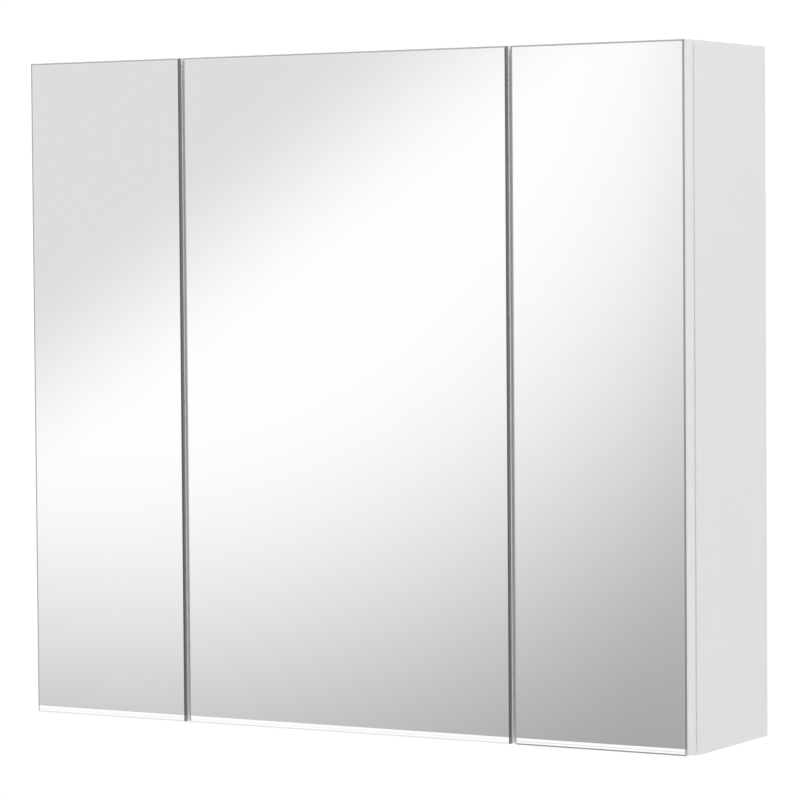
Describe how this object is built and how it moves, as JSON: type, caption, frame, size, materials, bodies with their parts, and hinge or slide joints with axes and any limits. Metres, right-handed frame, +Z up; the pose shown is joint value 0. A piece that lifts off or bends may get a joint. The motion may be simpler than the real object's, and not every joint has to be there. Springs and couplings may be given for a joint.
{
  "type": "mirrored medicine cabinet",
  "caption": "Wall-hung bathroom medicine cabinet: white board case with glass shelves behind mirrored doors on concealed cup hinges.",
  "frame": {"origin": "middle of the wall rail's rear face, in the wall plane", "axes": "+X to the right seen from the front, +Y back into the wall, +Z up; the doors face -Y"},
  "size_m": [0.8, 0.1922, 0.72],
  "materials": {
    "white_board": "white melamine on chipboard, satin",
    "mirror_glass": "silvered float glass with a polished arris",
    "white_strip": "white satin extrusion",
    "nickel": "nickel-plated pressed steel",
    "zinc": "zinc-plated steel",
    "backing": "white-painted thin fibreboard",
    "shelf_glass": "clear float glass, ground edges",
    "white_plastic": "moulded, satin"
  },
  "bodies": {
    "case": {"side_panel_left": "white_board", "side_panel_right": "white_board", "top_panel": "white_board", "bottom_panel": "white_board", "partition_left": "white_board", "partition_right": "white_board", "back_panel": "backing", "shelf_left_1": "shelf_glass", "shelf_left_2": "shelf_glass", "shelf_centre_1": "shelf_glass", "shelf_centre_2": "shelf_glass", "shelf_right_1": "shelf_glass", "shelf_right_2": "shelf_glass", "hinge_plate_left_1": "nickel", "hinge_arm_left_1": "nickel", "hinge_plate_left_2": "nickel", "hinge_arm_left_2": "nickel", "hinge_plate_centre_1": "nickel", "hinge_arm_centre_1": "nickel", "hinge_plate_centre_2": "nickel", "hinge_arm_centre_2": "nickel", "hinge_plate_right_1": "nickel", "hinge_arm_right_1": "nickel", "hinge_plate_right_2": "nickel", "hinge_arm_right_2": "nickel", "wall_rail": "zinc", "hanger_block_left": "white_plastic", "hanger_hook_left": "zinc", "hanger_block_right": "white_plastic", "hanger_hook_right": "zinc"},
    "left_links": {"hinge_link_left_1": "nickel", "hinge_link_left_2": "nickel"},
    "left_door": {"door_left": "white_board", "mirror_left": "mirror_glass", "strip_left": "white_strip", "hinge_cup_left_1": "nickel", "hinge_cup_left_2": "nickel"},
    "centre_links": {"hinge_link_centre_1": "nickel", "hinge_link_centre_2": "nickel"},
    "centre_door": {"door_centre": "white_board", "mirror_centre": "mirror_glass", "strip_centre": "white_strip", "hinge_cup_centre_1": "nickel", "hinge_cup_centre_2": "nickel"},
    "right_links": {"hinge_link_right_1": "nickel", "hinge_link_right_2": "nickel"},
    "right_door": {"door_right": "white_board", "mirror_right": "mirror_glass", "strip_right": "white_strip", "hinge_cup_right_1": "nickel", "hinge_cup_right_2": "nickel"}
  },
  "joints": [
    {"name": "left_door_links_swing", "type": "hinge", "parent": "case", "child": "left_links", "pos_m": [-0.3687, -0.1598, -0.295], "axis": [0, 0, -1], "range_deg": [-44.5, 0]},
    {"name": "left_door_open", "type": "hinge", "parent": "left_links", "child": "left_door", "pos_m": [-0.389, -0.1744, -0.295], "axis": [0, 0, -1], "range_deg": [0, 139]},
    {"name": "centre_door_links_swing", "type": "hinge", "parent": "case", "child": "centre_links", "pos_m": [-0.1677, -0.1598, -0.295], "axis": [0, 0, -1], "range_deg": [-44.5, 0]},
    {"name": "centre_door_open", "type": "hinge", "parent": "centre_links", "child": "centre_door", "pos_m": [-0.188, -0.1744, -0.295], "axis": [0, 0, -1], "range_deg": [0, 139]},
    {"name": "right_door_links_swing", "type": "hinge", "parent": "case", "child": "right_links", "pos_m": [0.3687, -0.1598, -0.295], "axis": [0, 0, 1], "range_deg": [-44.5, 0]},
    {"name": "right_door_open", "type": "hinge", "parent": "right_links", "child": "right_door", "pos_m": [0.389, -0.1744, -0.295], "axis": [0, 0, 1], "range_deg": [0, 139]}
  ],
  "couplings": [
    {"joint": "left_door_links_swing", "follows": "left_door_open", "ratio": -0.31694},
    {"joint": "centre_door_links_swing", "follows": "centre_door_open", "ratio": -0.31694},
    {"joint": "right_door_links_swing", "follows": "right_door_open", "ratio": -0.31694}
  ]
}
